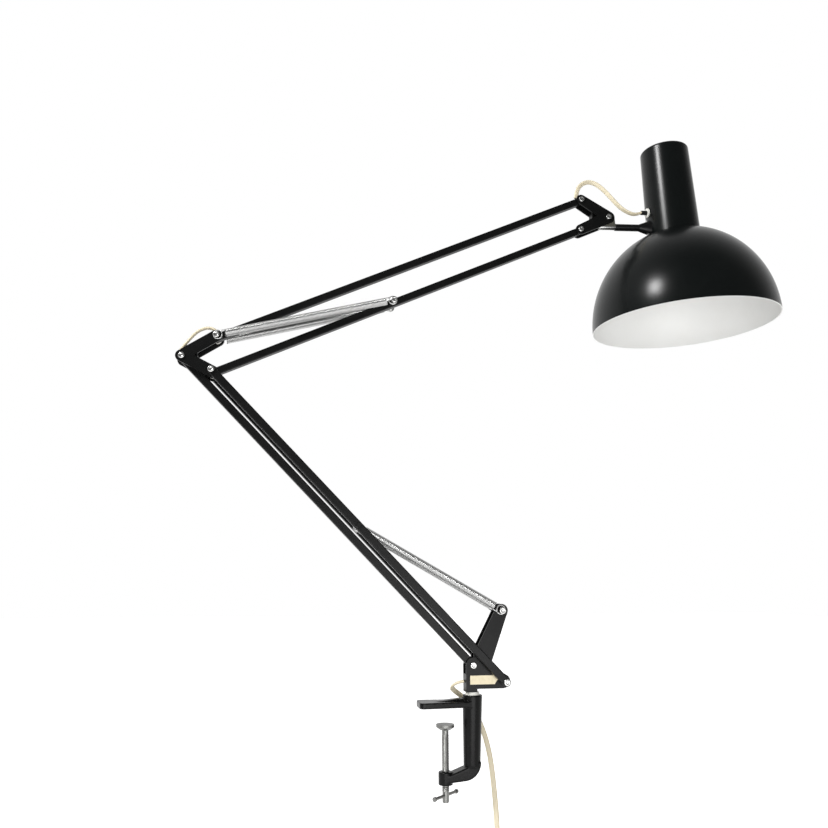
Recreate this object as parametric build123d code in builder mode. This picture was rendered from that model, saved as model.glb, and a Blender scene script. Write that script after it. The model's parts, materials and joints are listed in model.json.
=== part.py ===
from build123d import *
import math
import os

os.makedirs("parts", exist_ok=True)

# Balanced-arm desk lamp on a table clamp, in millimetres.
# The arms move in the XZ plane, +Z is up and the head is on the +X side.
# The origin is on the underside of the top jaw, on the axis of the clamp screw.

# Clamp casting
clamp_reach = 28.0  # clamp screw axis to swivel axis
jaw_reach = 27.0  # screw axis to the tip of the top jaw
jaw_half_width = 13.0
jaw_root_half_width = 9.75
jaw_corner = 4.0
jaw_thickness = 5.6
rib_half_width = 4.5
rib_height = 3.4  # rise of the jaw's rib at its root
rib_tip = 12.2  # low end of the rib from the screw axis
fuse_depth = 1.0  # overlap of forms that are cast together
column_top = 11.0
column_radius = 9.8
column_foot_radius = 8.3
throat_height = 55.0  # underside of the top jaw to the lower arm
lower_arm_thickness = 11.0
lower_arm_half_width = 7.0
arm_root_height = 8.0  # overlap of the lower arm and the column
arm_corner = 15.0  # radius of the arm's outer corner
boss_radius = 7.0
boss_height = 12.0
boss_drop = 4.0  # top of the boss below the throat's floor

# Clamp screw, tommy bar and pressure pad
screw_radius = 3.2
grip_gap = 16.0  # jaw to pad at rest, the thickness of a table top
pad_radius = 9.0
pad_thickness = 5.0
pad_foot_radius = 5.4
screw_tip_radius = 2.2
screw_tip_depth = 3.0
screw_length = 66.0
screw_chamfer = 0.6
tommy_radius = 1.4
tommy_length = 34.0
tommy_angle = 43.0
tommy_knob_radius = 2.1
tommy_knob_length = 2.0
tommy_rise = 6.5  # tommy hole above the lower end of the screw

# Swivel: nylon bush in the column, steel post under the base bracket
post_radius = 5.0
bush_radius = 6.4
bush_depth = 34.0
collar_radius = 7.3
collar_top_radius = 6.4
collar_height = 3.0
post_block_height = 9.0
post_block_length = 9.2
post_block_offset = 0.5

# Linkage
base_pivot_height = 39.5
lower_length = 430.0
lower_angle = 134.46
upper_length = 451.0
upper_angle = 25.24
base_link = 34.7  # spacing of the two lower-arm pivots
base_link_angle = -26.6
elbow_link = 38.5  # spacing of the two upper-arm pivots
elbow_link_angle = 86.1
head_link = 38.4  # top pivot to tilt screw on the head bracket
head_link_angle = -31.0
horn_length = 61.1  # rear pivot to the horn's spring pin
horn_angle = 60.0
front_spring_place = 213.0  # spring pin along the front bars
upper_spring_place = 206.8  # spring pin along the lower bar of the upper arm

# Square tube bars
bar_side = 8.0
bar_wall = 0.8
bar_corner = 1.0
front_bar_offset = 14.0  # centre of each front bar from the mid-plane

# Brackets of folded sheet
sheet = 1.5
base_cheek_inner = 5.2
base_bracket_back = 7.6  # back wall from the swivel axis
base_bracket_floor = 17.0
base_post_half_width = 5.6
base_wall_top = 31.0
pivot_round = 7.4
horn_round = 6.4
horn_root_round = 9.8  # half width of the horn at its root
horn_root_place = 13.0  # rear pivot to the root of the horn
horn_root_angle = 38.0
front_round = 6.6
elbow_cheek_inner = 8.0
elbow_round = 6.2
elbow_web_reach = 15.0
elbow_web_angle = 4.0
elbow_web_height = 11.0
head_cheek_inner = 4.6
head_round = 6.0
tilt_round = 7.4
head_web_reach = 19.4
head_web_angle = 178.0
head_web_height = 10.0

# Pins and rivets
rivet_radius = 2.0
rivet_head_radius = 3.0
rivet_head_height = 1.4
head_taper = 25.0
spring_pin_radius = 2.4
spring_pin_cap_radius = 3.1
spring_pin_cap_height = 1.2
spacer_wall = 1.6
face_play = 0.15  # spacer to the faces beside it
open_pivot_play = 0.25  # extra play of the last pivot of each parallelogram
running_clearance = 0.05
seat_clearance = 0.02
soft_clearance = 0.3

# Springs
wire_radius = 0.65
coil_radius = 3.6
coil_turns = 8
spring_lead = 15.0  # pin centre to the first turn
horn_spring_offset = 8.3
front_spring_offset = 4.9
upper_spring_offset = 12.0
hook_side_gap = 0.9  # hook to the end cap of its pin
hook_start_angles = (330, 250, 170)
hook_end_angles = (10, 290, 210)
straight_limit = 1e-9

# Knuckle under the tilt screw
knuckle_half_width = 4.2
knuckle_round = 8.4
rod_drop = 10.3  # tilt screw to the neck's axis
rod_radius = 2.0
rod_back = 13.0
knuckle_back = 4.5
knuckle_front = 8.6
rod_inside_neck = 26.0
rod_end_play = 0.5

# Lamp head
head_lean = 3.36  # lean of the shade in the arm plane
head_turn = 2.09  # lean of the shade towards the viewer
neck_length = 83.7  # tilt screw to the shade's axis
neck_radius = 4.1
neck_start = 9.4  # tilt screw to the near end of the neck
neck_flare_length = 14.0
saddle_depth = 4.0
neck_flare_height = 22.0
neck_flare_width = 13.0
neck_to_shade = 9.4  # neck axis above the lower edge of the housing
housing_radius = 30.5
housing_top_radius = 28.0
housing_height = 110.0
housing_wall = 1.0
housing_edge = 3.0
shade_radius = 105.2
shade_depth = 111.2  # housing's lower edge to the rim
shade_wall = 1.0
shade_hole_radius = 26.0
rim_bead = 1.1

# Lampholder, its strap and the bulb
holder_radius = 19.0
holder_height = 48.0
holder_mouth = 4.0  # mouth below the housing's lower edge
holder_wall = 3.0
holder_base = 8.0
holder_edge = 3.0
cap_radius = 13.2
cap_height = 25.0
cap_chamfer = 5.0
bulb_radius = 30.0
bulb_neck_radius = 13.0
bulb_length = 78.0
bulb_shoulder = 16.5
bulb_bulge = 2.0
strap_thickness = 1.5
strap_width = 10.0
strap_drop = 8.0
strap_land = 4.0
strap_gap = 0.6564  # strap to the housing's inside where that is narrowest, on the mid-line
nipple_radius = 5.0
nipple_height = 8.0
screw_seat_depth = 1.6  # saddle left under the screw heads
neck_screw_height = 1.6
neck_screw_head = 2.6
neck_screw_spacing = 14.0

# Cord entry on the housing
grommet_height = 19.5  # grommet above the neck axis
grommet_radius = 3.6
grommet_stand = 0.4  # flange off the curved wall
grommet_flange = 5.4
grommet_flange_thickness = 1.6
grommet_inner_length = 1.6
sleeve_radius = 2.6
sleeve_length = 7.0

# Blank plate on the near cheek
plate_length = 28.0
plate_height = 8.4
plate_thickness = 0.5
plate_rise = 8.5  # plate centre above the bracket's floor
plate_tip = 3.0
plate_inset = 4.0

# Flex
cord_radius = 2.1
flex_end = 9.0  # flex stops short of a bar's end pins
flex_play = 0.1
cord_end_gap = 0.6
bend_share = 0.45  # part of a run that an arc takes
coil_loops = 4  # loops in each of the two layers
coil_outer_radius = 40.0
coil_layer_gap = 1.2
coil_loop_gap = 0.6
tail_run = 11.7  # runs of the flex from the coil to the plug
tail_side = 1.4
plug_length = 34.0
plug_shoulder = 20.4
plug_width = 35.0
plug_face_width = 26.0
plug_neck_width = 11.0
plug_thickness = 13.0
plug_edge = 2.5
plug_pin_radius = 2.0
plug_pin_length = 19.0
plug_pin_spacing = 18.6
tie_band = 8.0
tie_thickness = 1.0
tie_slack = 0.5


def polar(length, angle):
    """Offset in the arm plane, as (x, z)."""
    return (length * math.cos(math.radians(angle)), length * math.sin(math.radians(angle)))


def shifted(point, step):
    """A point of the arm plane moved by an offset in that plane."""
    return (point[0] + step[0], point[1] + step[1])


def in_space(point, y=0.0):
    """An arm-plane point (x, z) as a point in space."""
    return (point[0], y, point[1])


# Pivot centres in the arm plane, as (x, z)
base_step = polar(base_link, base_link_angle)
elbow_step = polar(elbow_link, elbow_link_angle)
rear_pivot = (clamp_reach, base_pivot_height)
front_pivot = shifted(rear_pivot, base_step)
elbow_rear = shifted(rear_pivot, polar(lower_length, lower_angle))
elbow_front = shifted(elbow_rear, base_step)
elbow_top = shifted(elbow_front, elbow_step)
head_top = shifted(elbow_top, polar(upper_length, upper_angle))
head_low = shifted(elbow_front, polar(upper_length, upper_angle))
tilt_pivot = shifted(head_top, polar(head_link, head_link_angle))
horn_pin = shifted(rear_pivot, polar(horn_length, horn_angle))
horn_root = shifted(rear_pivot, polar(horn_root_place, horn_root_angle))
front_spring_pin = shifted(front_pivot, polar(front_spring_place, lower_angle))
upper_spring_pin = shifted(elbow_front, polar(upper_spring_place, upper_angle))

base_cheek_outer = base_cheek_inner + sheet
elbow_cheek_outer = elbow_cheek_inner + sheet
head_cheek_outer = head_cheek_inner + sheet
front_bar_outer = front_bar_offset + bar_side / 2
front_bar_inner = front_bar_offset - bar_side / 2
collar_bottom = column_top
bracket_foot = collar_bottom + collar_height

# Planes of the lamp head: the neck's axis is its x, the shade's axis is its z
lean = math.radians(head_lean)
turn = math.radians(head_turn)
neck_direction = Vector(math.cos(lean), 0, math.sin(lean))
knuckle_up = Vector(-math.sin(lean), 0, math.cos(lean))
shade_up = knuckle_up * math.cos(turn) + Vector(0, -1, 0) * math.sin(turn)
tilt_centre = Vector(*in_space(tilt_pivot))
neck_centre = tilt_centre + neck_direction * neck_length - knuckle_up * rod_drop
knuckle_plane = Plane(tilt_centre, x_dir=neck_direction, z_dir=(0, -1, 0))
head_plane = Plane(neck_centre, x_dir=neck_direction, z_dir=shade_up)
neck_plane = Plane(neck_centre, x_dir=head_plane.y_dir, z_dir=neck_direction)
side_plane = Plane(neck_centre, x_dir=neck_direction, z_dir=-head_plane.y_dir)
shade_axis = Axis(neck_centre, shade_up)
shade_joint = -neck_to_shade
housing_top = shade_joint + housing_height
rim_level = shade_joint - shade_depth
dome_rise = shade_depth / math.sqrt(1 - ((housing_radius - housing_wall) / shade_radius) ** 2)


def finish(builder, name):
    """Label a finished piece and write it."""
    builder.part.label = name
    export_step(builder.part, "parts/" + name + ".step")


# Table clamp: one casting with a ribbed tongue, a column and a lower arm with the screw's boss
lower_arm_top = -throat_height
boss_top = lower_arm_top - boss_drop
column_foot_centre = clamp_reach - column_radius + column_foot_radius
arm_edge = column_foot_centre + column_foot_radius
with BuildPart() as clamp_body:
    with BuildSketch(Plane.XY.offset(column_top)):
        with Locations((clamp_reach, 0)):
            Circle(column_radius)
    with BuildSketch(Plane.XY.offset(lower_arm_top)):
        with Locations((column_foot_centre, 0)):
            Circle(column_foot_radius)
    loft()
    with BuildSketch(Plane.XY):
        with BuildLine():
            Polyline(
                (clamp_reach, jaw_root_half_width),
                (0, jaw_half_width),
                (jaw_corner - jaw_reach, jaw_half_width),
                (-jaw_reach, jaw_half_width - jaw_corner),
                (-jaw_reach, jaw_corner - jaw_half_width),
                (jaw_corner - jaw_reach, -jaw_half_width),
                (0, -jaw_half_width),
                (clamp_reach, -jaw_root_half_width),
                close=True,
            )
        make_face()
    extrude(amount=jaw_thickness)
    with BuildSketch(Plane.XZ):
        with BuildLine():
            Polyline(
                (-rib_tip, jaw_thickness - fuse_depth),
                (-rib_tip, jaw_thickness),
                (clamp_reach - column_radius, jaw_thickness + rib_height),
                (clamp_reach, jaw_thickness + rib_height),
                (clamp_reach, jaw_thickness - fuse_depth),
                close=True,
            )
        make_face()
    extrude(amount=rib_half_width, both=True)
    with BuildSketch(Plane.XZ):
        with BuildLine():
            Polyline(
                (clamp_reach - column_radius, lower_arm_top + arm_root_height),
                (clamp_reach - column_radius, lower_arm_top),
                (0, boss_top + fuse_depth),
                (0, boss_top - lower_arm_thickness + fuse_depth),
                (arm_edge - arm_corner, lower_arm_top - lower_arm_thickness),
            )
            ThreePointArc(
                (arm_edge - arm_corner, lower_arm_top - lower_arm_thickness),
                (
                    arm_edge - arm_corner * (1 - math.sin(math.pi / 4)),
                    lower_arm_top - lower_arm_thickness + arm_corner * (1 - math.sin(math.pi / 4)),
                ),
                (arm_edge, lower_arm_top - lower_arm_thickness + arm_corner),
            )
            Polyline(
                (arm_edge, lower_arm_top - lower_arm_thickness + arm_corner),
                (arm_edge, lower_arm_top + arm_root_height),
                (clamp_reach - column_radius, lower_arm_top + arm_root_height),
            )
        make_face()
    extrude(amount=lower_arm_half_width, both=True)
    with BuildSketch(Plane.XY.offset(boss_top)):
        Circle(boss_radius)
    extrude(amount=-boss_height)
    with Locations((0, 0, boss_top - boss_height / 2)):
        Cylinder(screw_radius + running_clearance, boss_height * 2, mode=Mode.SUBTRACT)
    with Locations((clamp_reach, 0, column_top - bush_depth / 2)):
        Cylinder(bush_radius + seat_clearance, bush_depth, mode=Mode.SUBTRACT)
finish(clamp_body, "clamp_body")

# Nylon bush with the collar that carries the base bracket
with BuildPart() as collar_bush:
    with BuildSketch(Plane.XZ):
        with BuildLine():
            Polyline(
                (clamp_reach + post_radius + running_clearance, column_top - bush_depth),
                (clamp_reach + bush_radius, column_top - bush_depth),
                (clamp_reach + bush_radius, column_top),
                (clamp_reach + collar_radius, column_top),
                (clamp_reach + collar_top_radius, bracket_foot - seat_clearance),
                (clamp_reach + post_radius + running_clearance, bracket_foot - seat_clearance),
                close=True,
            )
        make_face()
    revolve(axis=Axis((clamp_reach, 0, 0), (0, 0, 1)))
finish(collar_bush, "collar_bush")

# Clamp screw with a turned tip that the pad swivels on
screw_top = -grip_gap - pad_thickness
screw_foot = screw_top - screw_length
tommy_height = screw_foot + tommy_rise
tommy_axis = Plane(
    (0, 0, tommy_height),
    x_dir=(0, 0, 1),
    z_dir=(math.cos(math.radians(tommy_angle)), math.sin(math.radians(tommy_angle)), 0),
)
with BuildPart() as clamp_screw:
    with BuildSketch(Plane.XY.offset(screw_foot)):
        Circle(screw_radius)
    extrude(amount=screw_length)
    chamfer(clamp_screw.edges().group_by(Axis.Z)[0], length=screw_chamfer)
    with BuildSketch(Plane.XY.offset(screw_top)):
        Circle(screw_tip_radius)
    extrude(amount=screw_tip_depth)
    with BuildSketch(tommy_axis):
        Circle(tommy_radius + running_clearance)
    extrude(amount=screw_radius * 2, both=True, mode=Mode.SUBTRACT)
finish(clamp_screw, "clamp_screw")

# Tommy bar with a small knob at each end
with BuildPart() as tommy_bar:
    with BuildSketch(tommy_axis):
        Circle(tommy_radius)
    extrude(amount=tommy_length / 2, both=True)
    for side in (-1, 1):
        with BuildSketch(tommy_axis.offset(side * tommy_length / 2)):
            Circle(tommy_knob_radius)
        extrude(amount=side * tommy_knob_length)
finish(tommy_bar, "tommy_bar")

# Pressure pad: a dished disc that stays still on the table while the screw turns
with BuildPart() as pressure_pad:
    with BuildSketch(Plane.XY.offset(screw_top)):
        Circle(pad_foot_radius)
    with BuildSketch(Plane.XY.offset(-grip_gap - pad_thickness / 2)):
        Circle(pad_radius)
    loft()
    with BuildSketch(Plane.XY.offset(-grip_gap - pad_thickness / 2)):
        Circle(pad_radius)
    extrude(amount=pad_thickness / 2)
    with Locations((0, 0, screw_top + screw_tip_depth / 2)):
        Cylinder(
            screw_tip_radius + running_clearance,
            screw_tip_depth + 2 * seat_clearance,
            mode=Mode.SUBTRACT,
        )
finish(pressure_pad, "pressure_pad")

# Steel swivel post with a block between the cheeks of the base bracket
with BuildPart() as swivel_post:
    with BuildSketch(Plane.XY.offset(column_top - bush_depth)):
        with Locations((clamp_reach, 0)):
            Circle(post_radius)
    extrude(amount=bush_depth + collar_height)
    with BuildSketch(Plane.XY.offset(bracket_foot)):
        with Locations((clamp_reach - post_block_offset, 0)):
            Rectangle(post_block_length, 2 * (base_cheek_inner - seat_clearance))
    extrude(amount=post_block_height)
finish(swivel_post, "swivel_post")


def folded_cheeks(inner, outline):
    """Two cheeks of folded sheet, at equal distances from the mid-plane."""
    with BuildPart() as cheeks:
        for side in (1, -1):
            with BuildSketch(Plane.XZ.offset(side * inner)):
                add(outline)
            extrude(amount=side * sheet)
    return cheeks.part


def rounded_link(first, first_radius, second, second_radius):
    """Outline of a link between two circles, a filled tapered slot."""
    with BuildSketch() as link:
        with Locations(first):
            Circle(first_radius)
        with Locations(second):
            Circle(second_radius)
        make_hull(link.edges())
    return link.sketch


def pin_bores(points, radius, reach):
    """Bores along Y at arm-plane points, to be cut from a bracket."""
    with BuildPart() as bores:
        with BuildSketch(Plane.XZ):
            with Locations(*points):
                Circle(radius + running_clearance)
        extrude(amount=reach, both=True)
    return bores.part


# Base bracket: one folded sheet with the pivots of the lower arm and the spring horn
base_back_edge = clamp_reach - base_bracket_back
base_foot_edge = base_back_edge + 2 * base_post_half_width
pivot_link = rounded_link(rear_pivot, pivot_round, front_pivot, front_round)
horn_link = rounded_link(horn_root, horn_root_round, horn_pin, horn_round)
with BuildSketch() as base_outline:
    with BuildLine():
        Polyline(
            (base_back_edge, bracket_foot),
            (base_foot_edge, bracket_foot),
            (base_foot_edge, base_bracket_floor),
            (front_pivot[0], base_bracket_floor),
            front_pivot,
            rear_pivot,
            (base_back_edge, rear_pivot[1]),
            close=True,
        )
    make_face()
    add(pivot_link)
    add(horn_link)
base_cheeks = folded_cheeks(base_cheek_inner, base_outline.sketch)
base_rivet_bores = pin_bores((rear_pivot, front_pivot), rivet_radius, base_cheek_outer * 2)
horn_pin_bore = pin_bores((horn_pin,), spring_pin_radius, base_cheek_outer * 2)
with BuildPart() as base_bracket:
    add(base_cheeks)
    with BuildSketch(Plane.XY.offset(bracket_foot)):
        with Locations((base_back_edge + sheet / 2, 0)):
            Rectangle(sheet, 2 * base_cheek_inner)
    extrude(amount=base_wall_top - bracket_foot)
    add(base_rivet_bores, mode=Mode.SUBTRACT)
    add(horn_pin_bore, mode=Mode.SUBTRACT)
finish(base_bracket, "base_bracket")

# Blank plate on the near cheek, pointed at the end towards the front pivot
with BuildPart() as name_plate:
    plate_left = base_back_edge + plate_inset
    plate_middle = base_bracket_floor + plate_rise
    with BuildSketch(Plane.XZ.offset(base_cheek_outer)):
        with BuildLine():
            Polyline(
                (plate_left, plate_middle - plate_height / 2),
                (plate_left + plate_length - plate_tip, plate_middle - plate_height / 2),
                (plate_left + plate_length, plate_middle),
                (plate_left + plate_length - plate_tip, plate_middle + plate_height / 2),
                (plate_left, plate_middle + plate_height / 2),
                close=True,
            )
        make_face()
    extrude(amount=plate_thickness)
finish(name_plate, "name_plate")


def square_bar(start, length, angle, y, holes):
    """A square tube between two pivots, rounded at both ends and bored for its pins."""
    direction = polar(1, angle)
    reach = bar_side / 2
    first = shifted(start, polar(-reach, angle))
    across = Plane(in_space(first, y), x_dir=(0, 1, 0), z_dir=in_space(direction))
    along = Plane(
        in_space(shifted(start, polar(length / 2, angle)), y),
        x_dir=in_space(direction),
        z_dir=(0, -1, 0),
    )
    with BuildPart() as bar:
        with BuildSketch(across):
            RectangleRounded(bar_side, bar_side, bar_corner)
            RectangleRounded(
                bar_side - 2 * bar_wall,
                bar_side - 2 * bar_wall,
                bar_corner / 2,
                mode=Mode.SUBTRACT,
            )
        extrude(amount=length + 2 * reach)
        with BuildSketch(along):
            SlotCenterToCenter(length, bar_side)
        extrude(amount=bar_side, both=True, mode=Mode.INTERSECT)
        for place, radius in holes:
            centre = shifted(start, polar(place, angle))
            with BuildSketch(Plane.XZ.offset(-y)):
                with Locations(centre):
                    Circle(radius + running_clearance)
            extrude(amount=bar_side, both=True, mode=Mode.SUBTRACT)
    return bar


# Lower arm: one rear bar in the mid-plane and two front bars outside the brackets
rear_bar = square_bar(
    rear_pivot, lower_length, lower_angle, 0,
    ((0, rivet_radius), (lower_length, rivet_radius)),
)
finish(rear_bar, "rear_bar")
for side, name in ((-1, "front_bar_near"), (1, "front_bar_far")):
    front_bar = square_bar(
        front_pivot, lower_length, lower_angle, side * front_bar_offset,
        (
            (0, rivet_radius),
            (front_spring_place, spring_pin_radius),
            (lower_length, rivet_radius + open_pivot_play),
        ),
    )
    finish(front_bar, name)

# Upper arm: two bars in the mid-plane, the lower one carries the springs' pin
top_bar = square_bar(
    elbow_top, upper_length, upper_angle, 0,
    ((0, spring_pin_radius), (upper_length, rivet_radius)),
)
finish(top_bar, "top_bar")
lower_bar = square_bar(
    elbow_front, upper_length, upper_angle, 0,
    (
        (0, rivet_radius),
        (upper_spring_place, spring_pin_radius),
        (upper_length, rivet_radius + open_pivot_play),
    ),
)
finish(lower_bar, "lower_bar")


def web_plate(corner, reach, angle, height, inner):
    """The fold between two cheeks, a plate across the inner corner of their legs."""
    centre = shifted(corner, polar(reach, angle))
    plane = Plane(in_space(centre), x_dir=in_space(polar(1, angle)), z_dir=(0, -1, 0))
    with BuildPart() as web:
        with BuildSketch(plane):
            Rectangle(sheet, height)
        extrude(amount=inner, both=True)
    return web.part


def two_legs(corner, corner_radius, first, second, end_radius):
    """Outline of a cheek with two legs that meet at a corner pivot."""
    upper_leg = rounded_link(corner, corner_radius, first, end_radius)
    lower_leg = rounded_link(corner, corner_radius, second, end_radius)
    with BuildSketch() as legs:
        add(upper_leg)
        add(lower_leg)
    return legs.sketch


# Elbow bracket: two legs that meet at the rear pivot, folded in their inner corner
elbow_cheeks = folded_cheeks(
    elbow_cheek_inner, two_legs(elbow_rear, elbow_round, elbow_top, elbow_front, elbow_round)
)
elbow_web = web_plate(
    elbow_rear, elbow_web_reach, elbow_web_angle, elbow_web_height, elbow_cheek_inner
)
elbow_rivet_bores = pin_bores((elbow_rear, elbow_front), rivet_radius, elbow_cheek_outer * 2)
elbow_pin_bore = pin_bores((elbow_top,), spring_pin_radius, elbow_cheek_outer * 2)
with BuildPart() as elbow_bracket:
    add(elbow_cheeks)
    add(elbow_web)
    add(elbow_rivet_bores, mode=Mode.SUBTRACT)
    add(elbow_pin_bore, mode=Mode.SUBTRACT)
finish(elbow_bracket, "elbow_bracket")

# Head bracket: a wishbone from both upper-arm pivots to the tilt screw
head_cheeks = folded_cheeks(
    head_cheek_inner, two_legs(tilt_pivot, tilt_round, head_top, head_low, head_round)
)
head_web = web_plate(
    tilt_pivot, head_web_reach, head_web_angle, head_web_height, head_cheek_inner
)
head_bores = pin_bores((head_top, head_low, tilt_pivot), rivet_radius, head_cheek_outer * 2)
with BuildPart() as head_bracket:
    add(head_cheeks)
    add(head_web)
    add(head_bores, mode=Mode.SUBTRACT)
finish(head_bracket, "head_bracket")


def headed_pin(centre, half_length, radius, head_radius, head_height):
    """A pin along Y with a low round head at each end, the heads outside half_length."""
    with BuildPart() as pin:
        with BuildSketch(Plane.XZ):
            with Locations(centre):
                Circle(radius)
        extrude(amount=half_length, both=True)
        for side in (1, -1):
            with BuildSketch(Plane.XZ.offset(side * half_length)):
                with Locations(centre):
                    Circle(head_radius)
            extrude(amount=side * head_height, taper=head_taper)
    return pin


# Pivot rivets, each headed against the outermost piece that it holds
rivets = (
    ("rear_pivot_rivet", rear_pivot, base_cheek_outer),
    ("front_pivot_rivet", front_pivot, front_bar_outer),
    ("elbow_rear_rivet", elbow_rear, elbow_cheek_outer),
    ("elbow_front_rivet", elbow_front, front_bar_outer),
    ("head_top_rivet", head_top, head_cheek_outer),
    ("head_low_rivet", head_low, head_cheek_outer),
    ("tilt_screw", tilt_pivot, head_cheek_outer),
)
for name, centre, half_length in rivets:
    rivet = headed_pin(
        centre, half_length + running_clearance, rivet_radius, rivet_head_radius, rivet_head_height
    )
    finish(rivet, name)

# Spring pins, with caps outside the springs' hooks
hook_reach = wire_radius + hook_side_gap
spring_pins = (
    ("horn_spring_pin", horn_pin, horn_spring_offset + hook_reach),
    ("elbow_spring_pin", elbow_top, upper_spring_offset + hook_reach),
    ("bar_spring_pin", upper_spring_pin, upper_spring_offset + hook_reach),
)
for name, centre, half_length in spring_pins:
    spring_pin = headed_pin(
        centre, half_length, spring_pin_radius, spring_pin_cap_radius, spring_pin_cap_height
    )
    finish(spring_pin, name)
front_cross_pin = headed_pin(
    front_spring_pin, front_bar_outer + running_clearance, spring_pin_radius,
    spring_pin_cap_radius, spring_pin_cap_height,
)
finish(front_cross_pin, "front_cross_pin")


def spacer_sleeves(centre, inner, outer, radius):
    """Two sleeves on a pin, one each side of the mid-plane, between inner and outer faces."""
    with BuildPart() as sleeves:
        for side in (1, -1):
            with BuildSketch(Plane.XZ.offset(side * inner)):
                with Locations(centre):
                    Circle(radius + spacer_wall)
                    Circle(radius + running_clearance, mode=Mode.SUBTRACT)
            extrude(amount=side * (outer - inner))
    return sleeves


# Spacer sleeves fill the play between bars and cheeks on each pivot
half_bar = bar_side / 2
spacers = (
    ("base_front_spacers", front_pivot, base_cheek_outer, front_bar_inner, rivet_radius),
    ("elbow_rear_spacers", elbow_rear, half_bar, elbow_cheek_inner, rivet_radius),
    ("elbow_front_spacers", elbow_front, half_bar, elbow_cheek_inner, rivet_radius),
    ("elbow_top_spacers", elbow_top, half_bar, elbow_cheek_inner, spring_pin_radius),
)
for name, centre, inner, outer, radius in spacers:
    sleeves = spacer_sleeves(centre, inner + face_play, outer - face_play, radius)
    finish(sleeves, name)


# Springs: a hook round each pin and an open coil between, one unbroken wire
def biarc(start, start_heading, end, end_heading):
    """Two arcs that leave start and reach end along the given headings."""
    chord = end - start
    both = start_heading + end_heading
    spread = 2 * (1 - start_heading.dot(end_heading))
    reach = chord.dot(both)
    if spread < straight_limit:
        step = chord.dot(chord) / (4 * chord.dot(end_heading))
    else:
        step = (math.sqrt(reach**2 + spread * chord.dot(chord)) - reach) / spread
    first = start + start_heading * step
    last = end - end_heading * step
    middle = (first + last) * 0.5
    heading = (last - first).normalized()
    TangentArc(start, middle, tangent=start_heading)
    TangentArc(middle, end, tangent=heading)


def spring_wire(first_pin, last_pin):
    """Points and headings of a spring's wire from one hook tip to the other."""
    along = (last_pin - first_pin).normalized()
    across = Vector(0, 1, 0).cross(along).normalized()
    side = along.cross(across).normalized()
    length = (last_pin - first_pin).length
    stations = []
    for degrees in hook_start_angles:
        angle = math.radians(degrees)
        place = first_pin + (along * math.cos(angle) + across * math.sin(angle)) * coil_radius
        heading = along * math.sin(angle) - across * math.cos(angle)
        stations.append((place, heading))
    stations.append((first_pin + across * coil_radius, along))
    pitch = (length - 2 * spring_lead) / coil_turns
    slope = pitch / (2 * math.pi * coil_radius)
    for half in range(2 * coil_turns - 1):
        angle = math.pi * (half + 0.5)
        radial = across * math.cos(angle) + side * math.sin(angle)
        round_heading = side * math.cos(angle) - across * math.sin(angle)
        place = first_pin + along * (spring_lead + pitch * (half + 0.5) / 2) + radial * coil_radius
        stations.append((place, (round_heading + along * slope).normalized()))
    stations.append((last_pin + across * coil_radius, along))
    for degrees in hook_end_angles:
        angle = math.radians(degrees)
        place = last_pin + (along * math.cos(angle) + across * math.sin(angle)) * coil_radius
        heading = along * math.sin(angle) - across * math.cos(angle)
        stations.append((place, heading))
    return stations


def least_gap(path, radius, skip, count=500):
    """Least clear distance of a tube to itself, measured on points along its path."""
    points = [path.position_at(index / count) for index in range(count + 1)]
    step = path.length / count
    near = int(skip / step) + 1
    gap = path.length
    for index, point in enumerate(points):
        for other in points[index + near:]:
            gap = min(gap, (point - other).length - 2 * radius)
    return gap


def coil_spring(first_pin, last_pin):
    """One extension spring between two pins."""
    stations = spring_wire(first_pin, last_pin)
    with BuildPart() as spring:
        with BuildLine() as wire:
            for (start, heading), (end, end_heading) in zip(stations, stations[1:]):
                biarc(start, heading, end, end_heading)
        path = wire.wires()[0]
        with BuildSketch(Plane(path.position_at(0), z_dir=path.tangent_at(0))):
            Circle(wire_radius)
        sweep(path=path)
    gap = least_gap(path, wire_radius, 3 * coil_radius)
    print("spring wire", round(path.length, 1), "mm, least gap", round(gap, 2), "mm")
    return spring


for side, word in ((-1, "near"), (1, "far")):
    lower_spring = coil_spring(
        Vector(*in_space(horn_pin, side * horn_spring_offset)),
        Vector(*in_space(front_spring_pin, side * front_spring_offset)),
    )
    finish(lower_spring, "lower_spring_" + word)
    upper_spring = coil_spring(
        Vector(*in_space(elbow_top, side * upper_spring_offset)),
        Vector(*in_space(upper_spring_pin, side * upper_spring_offset)),
    )
    finish(upper_spring, "upper_spring_" + word)

# Knuckle: a tongue on the tilt screw that carries the neck's rod
with BuildPart() as knuckle:
    with BuildSketch(knuckle_plane):
        Circle(knuckle_round)
        with BuildLine():
            Polyline(
                (-knuckle_back, 0),
                (knuckle_front, 0),
                (knuckle_front, -rod_drop - rod_radius - sheet),
                (-knuckle_back, -rod_drop - rod_radius - sheet),
                close=True,
            )
        make_face()
    extrude(amount=knuckle_half_width, both=True)
    with BuildSketch(knuckle_plane):
        Circle(rivet_radius + running_clearance)
    extrude(amount=knuckle_half_width * 2, both=True, mode=Mode.SUBTRACT)
    with BuildSketch(neck_plane.offset(-neck_length)):
        Circle(rod_radius + seat_clearance)
    extrude(amount=4 * rod_back, both=True, mode=Mode.SUBTRACT)
finish(knuckle, "knuckle")

# Steel rod that the neck turns on
with BuildPart() as neck_rod:
    with BuildSketch(neck_plane.offset(-neck_length - rod_back)):
        Circle(rod_radius)
    extrude(amount=rod_back + neck_start + rod_inside_neck)
finish(neck_rod, "neck_rod")


def housing_solid(radius_offset):
    """The housing's tapered outside, larger or smaller by an offset."""
    with BuildPart() as body:
        with BuildSketch(head_plane.offset(shade_joint)):
            Circle(housing_radius + radius_offset)
        with BuildSketch(head_plane.offset(housing_top)):
            Circle(housing_top_radius + radius_offset)
        loft()
    return body.part


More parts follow.
